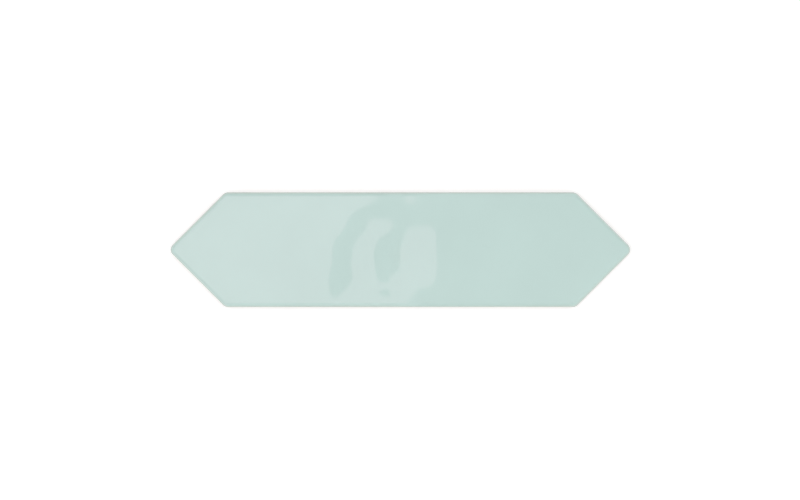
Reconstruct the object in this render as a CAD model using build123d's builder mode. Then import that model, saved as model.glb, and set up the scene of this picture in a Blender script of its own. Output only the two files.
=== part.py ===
from build123d import *
import math
import os
from typing import NamedTuple

# Driving dimensions, in millimetres and degrees.
LENGTH = 300.0  # over the two rounded points
WIDTH = 75.0  # over the two long edges
THICKNESS = 8.5  # from the back to the glazed face where it is not wavy
POINT_ANGLE = 90.0  # between the two short edges that meet at a point
CORNER_RADIUS = 4.5  # the six corners, seen from above
RIM_RADIUS = 3.0  # where the glazed face rolls over into the edges
BACK_CHAMFER = 0.6  # the broken edge around the back
GROOVE_PITCH = 10.0  # the keying grooves pressed into the back
GROOVE_WIDTH = 5.0
GROOVE_DEPTH = 0.8
GROOVE_MARGIN = 6.0  # flat land kept between the grooves and the edges
WAVE_SPACING = 2.5  # how closely the wavy face is sampled


class Hollow(NamedTuple):
    """A soft hollow in the glazed face. One with a negative depth is a swell."""

    x: float  # its middle, from the middle of the tile
    y: float
    across: float  # how far it reaches, across and along its own axis
    along: float
    turn: float  # its axis, in degrees from the tile's width
    depth: float


# The waves of the glazed face: the strong ones in the middle, then the faint ones towards each point.
HOLLOWS = [
    Hollow(x=-30.5, y=-8, across=7, along=20, turn=-16, depth=0.27),
    Hollow(x=-25, y=-18, across=7, along=6.5, turn=0, depth=0.17),
    Hollow(x=-37.5, y=2, across=4.5, along=7, turn=0, depth=0.05),
    Hollow(x=-37.5, y=-10.5, across=3, along=3.5, turn=0, depth=0.045),
    Hollow(x=-49, y=-8.5, across=4, along=4.5, turn=0, depth=0.04),
    Hollow(x=-1.5, y=-4.5, across=9.7, along=9.5, turn=-20, depth=0.4),
    Hollow(x=-4, y=-24.5, across=6, along=4, turn=0, depth=0.06),
    Hollow(x=-9.5, y=-17, across=4.5, along=4, turn=0, depth=0.09),
    Hollow(x=-17, y=-23.5, across=5.5, along=2.4, turn=0, depth=0.12),
    Hollow(x=-8.5, y=-27, across=3, along=2, turn=0, depth=0.02),
    Hollow(x=33.5, y=-12, across=12, along=22, turn=0, depth=-0.355),
    Hollow(x=28.5, y=11, across=9, along=6, turn=0, depth=-0.14),
    Hollow(x=28, y=-27, across=9, along=6, turn=0, depth=-0.05),
    Hollow(x=14, y=-30.5, across=6, along=4, turn=0, depth=-0.05),
    Hollow(x=8, y=-38, across=11, along=6, turn=0, depth=-0.22),
    Hollow(x=3, y=10.5, across=5, along=4.5, turn=0, depth=0.03),
    Hollow(x=-17.5, y=14, across=8, along=5, turn=0, depth=0.12),
    Hollow(x=-9, y=25, across=7, along=5.5, turn=0, depth=0.08),
    Hollow(x=4, y=27, across=14, along=6, turn=0, depth=0.2),
    Hollow(x=1, y=33, across=5, along=2.8, turn=0, depth=0.1),
    Hollow(x=-34, y=33.5, across=10, along=4.2, turn=0, depth=0.16),
    Hollow(x=-120, y=4, across=14, along=18, turn=20, depth=0.18),
    Hollow(x=-97, y=-20, across=16, along=12, turn=-30, depth=-0.14),
    Hollow(x=-88, y=19, across=13, along=16, turn=10, depth=0.16),
    Hollow(x=-66, y=-8, across=12, along=20, turn=15, depth=-0.15),
    Hollow(x=64, y=12, across=13, along=16, turn=-20, depth=0.17),
    Hollow(x=72, y=-22, across=15, along=12, turn=25, depth=-0.13),
    Hollow(x=95, y=14, across=14, along=17, turn=15, depth=-0.15),
    Hollow(x=103, y=-14, across=14, along=13, turn=-25, depth=0.16),
    Hollow(x=126, y=2, across=12, along=15, turn=0, depth=-0.12),
]

# The outline with its corners still sharp: the points stand out past their rounding.
half_width = WIDTH / 2
half_angle = math.radians(POINT_ANGLE / 2)
point_x = LENGTH / 2 + CORNER_RADIUS * (1 / math.sin(half_angle) - 1)
shoulder_x = point_x - half_width / math.tan(half_angle)


def face_height(x, y):
    """The height of the wavy glazed face above the back."""
    height = THICKNESS
    for hollow in HOLLOWS:
        turn = math.radians(hollow.turn)
        dx = x - hollow.x
        dy = y - hollow.y
        u = (dx * math.cos(turn) + dy * math.sin(turn)) / hollow.across
        v = (dy * math.cos(turn) - dx * math.sin(turn)) / hollow.along
        height -= hollow.depth * math.exp(-(u * u + v * v) / 2)
    return height


def wavy_face():
    """A smooth face through the waves, a little larger than the tile all round."""
    columns = math.ceil(point_x / WAVE_SPACING) + 1
    rows = math.ceil(half_width / WAVE_SPACING) + 1
    xs = [column * WAVE_SPACING for column in range(-columns, columns + 1)]
    ys = [row * WAVE_SPACING for row in range(-rows, rows + 1)]
    points = [[(x, y, face_height(x, y)) for y in ys] for x in xs]
    return Face.make_surface_from_array_of_points(points, min_deg=3)


def groove_rows():
    """The places of the grooves across the width: pairs that leave a land along the middle."""
    reach = half_width - GROOVE_MARGIN - GROOVE_WIDTH / 2
    pairs = math.floor(reach / GROOVE_PITCH + 0.5)
    return [side * (pair + 0.5) * GROOVE_PITCH for pair in range(pairs) for side in (-1, 1)]


def groove_end(y):
    """How far along the length a groove's end centre may go before its margin to the short edges."""
    room = GROOVE_MARGIN + GROOVE_WIDTH / 2
    return point_x - (room + abs(y) * math.cos(half_angle)) / math.sin(half_angle)


# The tile: a pressed and glazed body, lying on its back, with the middle of the back at the origin.
with BuildPart() as tile:
    with BuildSketch() as outline:
        with BuildLine():
            Polyline(
                (-point_x, 0),
                (-shoulder_x, half_width),
                (shoulder_x, half_width),
                (point_x, 0),
                (shoulder_x, -half_width),
                (-shoulder_x, -half_width),
                close=True,
            )
        make_face()
        fillet(outline.vertices(), CORNER_RADIUS)
    extrude(amount=2 * THICKNESS)
    split(bisect_by=wavy_face(), keep=Keep.BOTTOM)
    fillet(tile.faces().sort_by(Axis.Z)[-1].edges(), RIM_RADIUS)
    chamfer(tile.faces().sort_by(Axis.Z)[0].edges(), BACK_CHAMFER)
    with BuildSketch():
        for row_y in groove_rows():
            with Locations((0, row_y)):
                SlotCenterToCenter(2 * groove_end(row_y), GROOVE_WIDTH)
    extrude(amount=GROOVE_DEPTH, mode=Mode.SUBTRACT)
tile.part.label = "picket_tile"

os.makedirs("parts", exist_ok=True)
export_step(tile.part, "parts/picket_tile.step")
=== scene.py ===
import math

import bmesh
import bpy
from mathutils import Matrix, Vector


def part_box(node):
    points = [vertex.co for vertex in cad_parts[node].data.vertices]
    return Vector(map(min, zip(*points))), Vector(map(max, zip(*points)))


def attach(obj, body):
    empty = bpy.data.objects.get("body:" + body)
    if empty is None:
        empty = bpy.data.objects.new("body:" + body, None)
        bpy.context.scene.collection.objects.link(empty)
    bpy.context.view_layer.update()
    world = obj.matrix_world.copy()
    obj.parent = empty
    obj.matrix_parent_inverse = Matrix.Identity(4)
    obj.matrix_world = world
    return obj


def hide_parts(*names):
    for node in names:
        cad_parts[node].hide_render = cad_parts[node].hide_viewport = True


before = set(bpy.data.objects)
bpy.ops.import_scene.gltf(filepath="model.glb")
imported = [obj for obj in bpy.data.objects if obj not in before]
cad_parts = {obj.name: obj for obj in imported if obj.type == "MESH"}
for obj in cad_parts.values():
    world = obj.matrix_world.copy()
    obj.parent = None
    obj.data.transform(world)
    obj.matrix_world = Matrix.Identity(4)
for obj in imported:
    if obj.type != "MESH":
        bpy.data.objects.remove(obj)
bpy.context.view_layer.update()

# The picket tile: one piece of pale clay, dust-pressed in a six-sided die, glazed and fired.
# The face is uneven, as a hand-finished tile is, and rolls over into the edges all round.
# The back has shallow keying grooves, and is laid into a bed of adhesive.
CORNER_RADIUS = 0.0045
RIM_RADIUS = 0.003
BACK_CHAMFER = 0.0006
THICKNESS = 0.0085
POINT_ANGLE = math.radians(90)
SHOULDER_ANGLE = math.pi - POINT_ANGLE / 2
CORNER_SEGMENTS = 8
RIM_SEGMENTS = 10
FACE_SPACING = 0.0009
SIDE_FACE_CORNERS = 4
SHARP_ANGLE = math.radians(35)
MILLIMETRE = 0.001
CLOSE_ENOUGH = MILLIMETRE / 100

tile_low, tile_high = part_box("picket_tile")
half_length = (tile_high.x - tile_low.x) / 2
half_width = (tile_high.y - tile_low.y) / 2
point_x = half_length + CORNER_RADIUS * (1 / math.sin(POINT_ANGLE / 2) - 1)
shoulder_x = point_x - half_width / math.tan(POINT_ANGLE / 2)


def outline_corners(inset):
    """The six corners of the tile's outline, still sharp, moved in from its edges by an inset."""
    point = point_x - inset / math.sin(POINT_ANGLE / 2)
    side = half_width - inset
    shoulder = point - side / math.tan(POINT_ANGLE / 2)
    return [
        (-point, 0),
        (-shoulder, side),
        (shoulder, side),
        (point, 0),
        (shoulder, -side),
        (-shoulder, -side),
    ]


# The waves of the face, in millimetres and degrees: middle x and y, reach across and along, turn, depth.
# A wave with a negative depth is a swell. The strong waves in the middle come first, then the faint ones.
FACE_WAVES = [
    (-30.5, -8, 7, 20, -16, 0.27),
    (-25, -18, 7, 6.5, 0, 0.17),
    (-37.5, 2, 4.5, 7, 0, 0.05),
    (-37.5, -10.5, 3, 3.5, 0, 0.045),
    (-49, -8.5, 4, 4.5, 0, 0.04),
    (-1.5, -4.5, 9.7, 9.5, -20, 0.4),
    (-4, -24.5, 6, 4, 0, 0.06),
    (-9.5, -17, 4.5, 4, 0, 0.09),
    (-17, -23.5, 5.5, 2.4, 0, 0.12),
    (-8.5, -27, 3, 2, 0, 0.02),
    (33.5, -12, 12, 22, 0, -0.355),
    (28.5, 11, 9, 6, 0, -0.14),
    (28, -27, 9, 6, 0, -0.05),
    (14, -30.5, 6, 4, 0, -0.05),
    (8, -38, 11, 6, 0, -0.22),
    (3, 10.5, 5, 4.5, 0, 0.03),
    (-17.5, 14, 8, 5, 0, 0.12),
    (-9, 25, 7, 5.5, 0, 0.08),
    (4, 27, 14, 6, 0, 0.2),
    (1, 33, 5, 2.8, 0, 0.1),
    (-34, 33.5, 10, 4.2, 0, 0.16),
    (-120, 4, 14, 18, 20, 0.18),
    (-97, -20, 16, 12, -30, -0.14),
    (-88, 19, 13, 16, 10, 0.16),
    (-66, -8, 12, 20, 15, -0.15),
    (64, 12, 13, 16, -20, 0.17),
    (72, -22, 15, 12, 25, -0.13),
    (95, 14, 14, 17, 15, -0.15),
    (103, -14, 14, 13, -25, 0.16),
    (126, 2, 12, 15, 0, -0.12),
]


def wave_depth(x, y):
    """How far the waves sink the face at a place, in metres."""
    depth = 0.0
    for middle_x, middle_y, across, along, turn, deepest in FACE_WAVES:
        angle = math.radians(turn)
        dx = x / MILLIMETRE - middle_x
        dy = y / MILLIMETRE - middle_y
        u = (dx * math.cos(angle) + dy * math.sin(angle)) / across
        v = (dy * math.cos(angle) - dx * math.sin(angle)) / along
        depth += deepest * math.exp(-(u * u + v * v) / 2)
    return depth * MILLIMETRE


def only_verts(made):
    """The corners among the things that an operator has made."""
    return [item for item in made["geom"] if isinstance(item, bmesh.types.BMVert)]


def round_edges(body, edges, offset, segments):
    """Rounds edges over, or breaks them flat with a single segment."""
    bmesh.ops.bevel(
        body,
        geom=edges,
        offset=offset,
        offset_type="OFFSET",
        affect="EDGES",
        segments=segments,
        profile=0.5,
        material=-1,
    )


def press_body():
    """The pressed blank: a six-sided slab with round corners, a rolled rim and a broken back edge."""
    body = bmesh.new()
    back = body.faces.new([body.verts.new((x, y, 0)) for x, y in outline_corners(0)])
    pressed = bmesh.ops.extrude_face_region(body, geom=[back], use_keep_orig=True)
    bmesh.ops.translate(body, verts=only_verts(pressed), vec=(0, 0, THICKNESS))
    bmesh.ops.recalc_face_normals(body, faces=body.faces)

    upright = [edge for edge in body.edges if edge.verts[0].co.xy == edge.verts[1].co.xy]
    points = [edge for edge in upright if abs(edge.verts[0].co.x) > half_length]
    shoulders = [edge for edge in upright if edge not in points]
    for edges, angle in ((points, POINT_ANGLE), (shoulders, SHOULDER_ANGLE)):
        round_edges(body, edges, CORNER_RADIUS / math.tan(angle / 2), CORNER_SEGMENTS)

    for level, offset, segments in ((THICKNESS, RIM_RADIUS, RIM_SEGMENTS), (0, BACK_CHAMFER, 1)):
        edges = [
            edge
            for edge in body.edges
            if all(abs(vert.co.z - level) < CLOSE_ENOUGH for vert in edge.verts)
        ]
        round_edges(body, edges, offset, segments)
    return body


def open_ends(body):
    """Takes out the flat top and back, which are filled again with the wavy face and the grooves."""
    flat = [face for face in body.faces if len(face.verts) > SIDE_FACE_CORNERS]
    bmesh.ops.delete(body, geom=flat, context="FACES_ONLY")


def divide_edges(body):
    """Cuts the long and the short edges, over the whole height of the tile, into even steps."""
    for shortest in (shoulder_x, half_width / 2):
        straight = [edge for edge in body.edges if edge.calc_length() > shortest]
        steps = round(straight[0].calc_length() / FACE_SPACING)
        bmesh.ops.subdivide_edges(body, edges=straight, cuts=steps - 1, use_grid_fill=True)


def fill_face(body):
    """Fills the top with an even grid between the two long edges, and waves it with its rim."""
    inner = half_width - RIM_RADIUS
    long_edges = [
        edge
        for edge in body.edges
        if edge.is_boundary
        and all(
            vert.co.z > THICKNESS / 2 and abs(abs(vert.co.y) - inner) < CLOSE_ENOUGH
            for vert in edge.verts
        )
    ]
    bmesh.ops.grid_fill(body, edges=long_edges, use_smooth=True, use_interp_simple=True)
    for vert in body.verts:
        if vert.co.z > THICKNESS / 2:
            vert.co.z -= wave_depth(vert.co.x, vert.co.y)


GROOVE_PITCH = 0.010
GROOVE_WIDTH = 0.005
GROOVE_DEPTH = 0.0008
GROOVE_MARGIN = 0.006
GROOVE_PAIRS = 3
GROOVE_END_SEGMENTS = 24


def press_grooves(body):
    """Fills the back around the grooves and sinks the grooves into it."""
    back_loop = [edge for edge in body.edges if edge.is_boundary]
    groove_loops = []
    clear = GROOVE_MARGIN + GROOVE_WIDTH / 2
    half_step = Matrix.Rotation(math.pi / GROOVE_END_SEGMENTS, 4, "Z")
    for pair in range(GROOVE_PAIRS):
        for side in (-1, 1):
            groove_y = side * (pair + 0.5) * GROOVE_PITCH
            reach = abs(groove_y) * math.cos(POINT_ANGLE / 2) + clear
            end_x = point_x - reach / math.sin(POINT_ANGLE / 2)
            ring = bmesh.ops.create_circle(
                body,
                cap_ends=False,
                segments=GROOVE_END_SEGMENTS,
                radius=GROOVE_WIDTH / 2,
                matrix=half_step,
            )["verts"]
            right = [vert for vert in ring if vert.co.x > 0]
            left = [vert for vert in ring if vert.co.x < 0]
            bmesh.ops.translate(body, verts=right, vec=(end_x, groove_y, 0))
            bmesh.ops.translate(body, verts=left, vec=(-end_x, groove_y, 0))
            groove_loops += dict.fromkeys(edge for vert in ring for edge in vert.link_edges)
    bmesh.ops.triangle_fill(
        body, use_beauty=True, use_dissolve=False, edges=back_loop + groove_loops, normal=(0, 0, -1)
    )
    walls = bmesh.ops.extrude_edge_only(body, edges=groove_loops)
    floors = [
        item
        for item in walls["geom"]
        if isinstance(item, bmesh.types.BMEdge) and item.is_boundary
    ]
    bmesh.ops.translate(body, verts=only_verts(walls), vec=(0, 0, GROOVE_DEPTH))
    bmesh.ops.edgeloop_fill(body, edges=floors)


tile_body = press_body()
open_ends(tile_body)
divide_edges(tile_body)
fill_face(tile_body)
press_grooves(tile_body)
bmesh.ops.recalc_face_normals(tile_body, faces=tile_body.faces)
tile_mesh = bpy.data.meshes.new("picket_tile_fired")
tile_body.to_mesh(tile_mesh)
tile_body.free()
tile_mesh.shade_smooth()
tile_mesh.set_sharp_from_angle(angle=SHARP_ANGLE)
tile = bpy.data.objects.new("picket_tile_fired", tile_mesh)
bpy.context.scene.collection.objects.link(tile)

GLAZE_MINT = (0.535, 0.716, 0.671)
GLAZE_TONES = (0.985, 1.015)
GLAZE_ROUGHNESS = 0.02
GLAZE_IOR = 1.5
GLAZE_THICKNESS = 0.00015
CLAY_BUFF = (0.60, 0.50, 0.41)
CLAY_TONES = (0.95, 1.05)
CLAY_GRAIN_TONES = (0.9, 1.08)
CLAY_ROUGHNESS = 0.85

# Heights above the back: where the glaze stops on the edges, and where it thins over the rim.
GLAZE_LINE_LOW = 0.0024
GLAZE_LINE_HIGH = 0.0044
GLAZE_LINE_BLUR = 0.0001
RIM_GLAZE_THINS = 0.0082
RIM_GLAZE_THINNEST = 0.0064
RIM_CLAY_SHARE = 0.4

# The patterns: their size and how finely they break up, and the height of those that can be felt.
LINE_WANDER = 0.012
LINE_DETAIL = 2
CLOUD_SIZE = 0.045
CLOUD_DETAIL = 3
GRAIN_SIZE = 0.0008
GRAIN_DETAIL = 4
GRAIN_HEIGHT = 0.00005
RIPPLE_SIZE = 0.009
RIPPLE_DETAIL = 1
RIPPLE_HEIGHT = 0.000008
NOISE_LOW = 0.3
NOISE_HIGH = 0.7

glaze = bpy.data.materials.new("mint_glaze_on_clay")
glaze.use_nodes = True
glaze_tree = glaze.node_tree
glaze_shader = glaze_tree.nodes["Principled BSDF"]
glaze_shader.inputs["IOR"].default_value = GLAZE_IOR
tile_place = glaze_tree.nodes.new("ShaderNodeTexCoord").outputs["Object"]


def join_values(tree, operation, *values):
    """Values put together by an operation. Each is a number or comes from another node."""
    node = tree.nodes.new("ShaderNodeMath")
    node.operation = operation
    for place, value in zip(node.inputs, values):
        if isinstance(value, (int, float)):
            place.default_value = value
        else:
            tree.links.new(value, place)
    return node.outputs[0]


def move_range(tree, value, low, high, to_low, to_high, shape="LINEAR"):
    """A value moved from one range to another."""
    node = tree.nodes.new("ShaderNodeMapRange")
    node.interpolation_type = shape
    node.inputs["From Min"].default_value = low
    node.inputs["From Max"].default_value = high
    node.inputs["To Min"].default_value = to_low
    node.inputs["To Max"].default_value = to_high
    tree.links.new(value, node.inputs["Value"])
    return node.outputs["Result"]


def split_axes(tree, place):
    """The three parts of a place or direction."""
    node = tree.nodes.new("ShaderNodeSeparateXYZ")
    tree.links.new(place, node.inputs[0])
    return node.outputs


def glaze_noise(size, detail):
    """A cloudy pattern over the tile, with patches of about a size in metres."""
    noise = glaze_tree.nodes.new("ShaderNodeTexNoise")
    noise.inputs["Scale"].default_value = 1 / size
    noise.inputs["Detail"].default_value = detail
    glaze_tree.links.new(tile_place, noise.inputs["Vector"])
    return noise.outputs["Fac"]


def glaze_spread(noise, low, high):
    """A cloudy pattern that runs between two values."""
    return move_range(glaze_tree, noise, NOISE_LOW, NOISE_HIGH, low, high)


def glaze_tint(colour, tone):
    """A plain colour made lighter or darker by a tone."""
    tint = glaze_tree.nodes.new("ShaderNodeVectorMath")
    tint.operation = "SCALE"
    tint.inputs[0].default_value = colour
    glaze_tree.links.new(tone, tint.inputs["Scale"])
    return tint.outputs[0]


def glaze_mix(kind, share, first, second):
    """Two colours or two values mixed, with a share of the second."""
    mix = glaze_tree.nodes.new("ShaderNodeMix")
    mix.data_type = kind
    glaze_tree.links.new(share, mix.inputs["Factor"])
    glaze_tree.links.new(first, mix.inputs["A"])
    glaze_tree.links.new(second, mix.inputs["B"])
    return mix.outputs["Result"]


# The glaze ran down the edges and stopped at an uneven line. Below it, and on the back, the clay is bare.
tile_height = split_axes(glaze_tree, tile_place)["Z"]
glaze_line = glaze_spread(glaze_noise(LINE_WANDER, LINE_DETAIL), GLAZE_LINE_LOW, GLAZE_LINE_HIGH)
above_line = join_values(glaze_tree, "SUBTRACT", tile_height, glaze_line)
glazed = move_range(glaze_tree, above_line, -GLAZE_LINE_BLUR, GLAZE_LINE_BLUR, 0, 1)

# Both are a little uneven: the glaze clouded and thin on the rim, the clay grainy.
cloud = glaze_noise(CLOUD_SIZE, CLOUD_DETAIL)
grain = glaze_noise(GRAIN_SIZE, GRAIN_DETAIL)
clay_tone = join_values(
    glaze_tree, "MULTIPLY", glaze_spread(cloud, *CLAY_TONES), glaze_spread(grain, *CLAY_GRAIN_TONES)
)
clay_colour = glaze_tint(CLAY_BUFF, clay_tone)
thick_glaze = glaze_tint(GLAZE_MINT, glaze_spread(cloud, *GLAZE_TONES))
thin_rim = move_range(glaze_tree, tile_height, RIM_GLAZE_THINS, RIM_GLAZE_THINNEST, 0, RIM_CLAY_SHARE)
glaze_colour = glaze_mix("RGBA", thin_rim, thick_glaze, clay_colour)
tile_colour = glaze_mix("RGBA", glazed, clay_colour, glaze_colour)
tile_roughness = move_range(glaze_tree, glazed, 0, 1, CLAY_ROUGHNESS, GLAZE_ROUGHNESS)

# The glaze has the faint ripple of a melted coat and ends in a low step.
# The clay is rough to the touch.
ripple = join_values(glaze_tree, "MULTIPLY", glaze_noise(RIPPLE_SIZE, RIPPLE_DETAIL), RIPPLE_HEIGHT)
coat_height = join_values(glaze_tree, "ADD", ripple, GLAZE_THICKNESS)
clay_height = join_values(glaze_tree, "MULTIPLY", grain, GRAIN_HEIGHT)
tile_bump = glaze_tree.nodes.new("ShaderNodeBump")
tile_bump.inputs["Strength"].default_value = 1.0
tile_bump.inputs["Distance"].default_value = 1.0
glaze_tree.links.new(glaze_mix("FLOAT", glazed, clay_height, coat_height), tile_bump.inputs["Height"])
glaze_tree.links.new(tile_colour, glaze_shader.inputs["Base Color"])
glaze_tree.links.new(tile_roughness, glaze_shader.inputs["Roughness"])
glaze_tree.links.new(tile_bump.outputs["Normal"], glaze_shader.inputs["Normal"])
tile_mesh.materials.append(glaze)

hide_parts("picket_tile")
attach(tile, "root")

# The table: a wide sheet of white card that the tile lies on, larger than the picture.
# Its opening, a little smaller than the tile, shows the back from below. The tile beds in by a hair.
# It glows a little where it is seen or mirrored, and so looks white, and the glow lights nothing.
TABLE_SPREAD = (40, 160, 1)  # how many times its opening, each way
TABLE_TOP = 0.00005
OPENING_INSET = 0.002
TABLE_WHITE = (0.78, 0.81, 0.81, 1)
TABLE_GLOW = 0.36

table_sheet = bmesh.new()
opening_corners = [table_sheet.verts.new((x, y, TABLE_TOP)) for x, y in outline_corners(OPENING_INSET)]
opening = table_sheet.faces.new(opening_corners)
card_ring = bmesh.ops.extrude_edge_only(table_sheet, edges=opening.edges)
bmesh.ops.scale(table_sheet, verts=only_verts(card_ring), vec=TABLE_SPREAD)
bmesh.ops.delete(table_sheet, geom=[opening], context="FACES_ONLY")
bmesh.ops.recalc_face_normals(table_sheet, faces=table_sheet.faces)
table_mesh = bpy.data.meshes.new("table")
table_sheet.to_mesh(table_mesh)
table_sheet.free()
table = bpy.data.objects.new("table", table_mesh)
bpy.context.scene.collection.objects.link(table)


def seen_or_mirrored(tree):
    """One where the eye meets a thing itself, in a mirror or through glass, and otherwise nothing."""
    path = tree.nodes.new("ShaderNodeLightPath").outputs
    seen = join_values(tree, "MAXIMUM", path["Is Camera Ray"], path["Is Glossy Ray"])
    return join_values(tree, "MAXIMUM", seen, path["Is Transmission Ray"])


card = bpy.data.materials.new("white_card")
card.use_nodes = True
card_tree = card.node_tree
card_shader = card_tree.nodes["Principled BSDF"]
card_shader.inputs["Base Color"].default_value = TABLE_WHITE
card_shader.inputs["Roughness"].default_value = 1.0
card_shader.inputs["Specular IOR Level"].default_value = 0.0
card_shader.inputs["Emission Color"].default_value = (1, 1, 1, 1)
card_glow = join_values(card_tree, "MULTIPLY", seen_or_mirrored(card_tree), TABLE_GLOW)
card_tree.links.new(card_glow, card_shader.inputs["Emission Strength"])
table_mesh.materials.append(card)

# The studio light: one soft panel that hangs flat over half the tile, in a pale room.
# The panel's straight edge passes over the middle of the tile and mirrors in its wavy face.
PANEL_HEIGHT = 2.0
PANEL_EDGE_X = -0.03
PANEL_SIZE = (0.9, 1.2)
PANEL_RADIANCE = 1.4
PANEL_TINT = (1.0, 0.66, 0.76)

panel_light = bpy.data.lights.new("panel", "AREA")
panel_light.shape = "RECTANGLE"
panel_light.size, panel_light.size_y = PANEL_SIZE
panel_light.energy = PANEL_RADIANCE * math.pi * PANEL_SIZE[0] * PANEL_SIZE[1]
panel_light.color = PANEL_TINT
panel = bpy.data.objects.new("panel", panel_light)
panel.location = (PANEL_EDGE_X - PANEL_SIZE[0] / 2, 0, PANEL_HEIGHT)
bpy.context.scene.collection.objects.link(panel)

# The room is brighter overhead and at two sides, and has tall windows all round, brightest half way up.
# Around its foot stands a white backdrop. It is the same below the table, and so lights the tile's back.
ROOM_MEAN = 0.46
ROOM_LEAN = (0.01, -0.07, 0.4)
ROOM_SIDES = 0.65
ROOM_TURN = math.radians(20)
WINDOW_COUNT = 12
WINDOW_MIDDLE = 0.5
WINDOW_LIGHT = 0.5
WINDOW_BLUR = 0.1
BACKDROP_TOP = math.sin(math.radians(8))
BACKDROP_FADE = math.sin(math.radians(13))

room = bpy.data.worlds.new("room")
room.use_nodes = True
room_tree = room.node_tree
room_place = room_tree.nodes.new("ShaderNodeTexCoord").outputs["Generated"]
room_axes = split_axes(room_tree, room_place)
room_x = room_axes["X"]
room_y = room_axes["Y"]
room_up = join_values(room_tree, "ABSOLUTE", room_axes["Z"])

room_across = join_values(
    room_tree,
    "MULTIPLY_ADD",
    room_y,
    math.sin(ROOM_TURN),
    join_values(room_tree, "MULTIPLY", room_x, math.cos(ROOM_TURN)),
)
room_sides = join_values(room_tree, "MULTIPLY", room_across, room_across)
room_shade = ROOM_MEAN
for direction, light in zip((room_x, room_y, room_up, room_sides), (*ROOM_LEAN, ROOM_SIDES)):
    room_shade = join_values(room_tree, "MULTIPLY_ADD", direction, light, room_shade)

bearing = join_values(room_tree, "ARCTAN2", room_y, room_x)
stripes = join_values(room_tree, "SINE", join_values(room_tree, "MULTIPLY", bearing, WINDOW_COUNT))
windows = move_range(
    room_tree, stripes, -WINDOW_BLUR, WINDOW_BLUR, WINDOW_LIGHT, -WINDOW_LIGHT, shape="SMOOTHSTEP"
)
half_way_up = join_values(
    room_tree,
    "MULTIPLY",
    join_values(room_tree, "DIVIDE", room_up, WINDOW_MIDDLE**2),
    join_values(room_tree, "SUBTRACT", 1, room_up),
)
room_shade = join_values(room_tree, "MULTIPLY_ADD", windows, half_way_up, room_shade)

backdrop = move_range(room_tree, room_up, BACKDROP_TOP, BACKDROP_FADE, 1, 0, shape="SMOOTHSTEP")
backdrop_seen = join_values(room_tree, "MULTIPLY", seen_or_mirrored(room_tree), backdrop)
short_of_white = join_values(room_tree, "SUBTRACT", 1, room_shade)
room_shade = join_values(room_tree, "MULTIPLY_ADD", backdrop_seen, short_of_white, room_shade)
room_light = room_tree.nodes["Background"]
room_light.inputs["Color"].default_value = (1, 1, 1, 1)
room_tree.links.new(room_shade, room_light.inputs["Strength"])
bpy.context.scene.world = room

# The camera looks straight down on the tile, from far enough away to keep its edges out of sight.
# Its lens and place set the tile's length and middle in the picture, which is 800 by 500 pixels.
CAMERA_HEIGHT = 2.0
FRAME_SIZE_PX = (800, 500)
TILE_LENGTH_PX = 460.2
TILE_MIDDLE_PX = (400.4, 249.7)

pixel = 2 * half_length / TILE_LENGTH_PX
camera_data = bpy.data.cameras.new("camera")
camera_data.lens = camera_data.sensor_width * CAMERA_HEIGHT / (FRAME_SIZE_PX[0] * pixel)
camera = bpy.data.objects.new("camera", camera_data)
camera.location = (
    (FRAME_SIZE_PX[0] / 2 - TILE_MIDDLE_PX[0]) * pixel,
    (TILE_MIDDLE_PX[1] - FRAME_SIZE_PX[1] / 2) * pixel,
    THICKNESS + CAMERA_HEIGHT,
)
bpy.context.scene.collection.objects.link(camera)
bpy.context.scene.camera = camera
bpy.context.scene.view_settings.view_transform = "Standard"
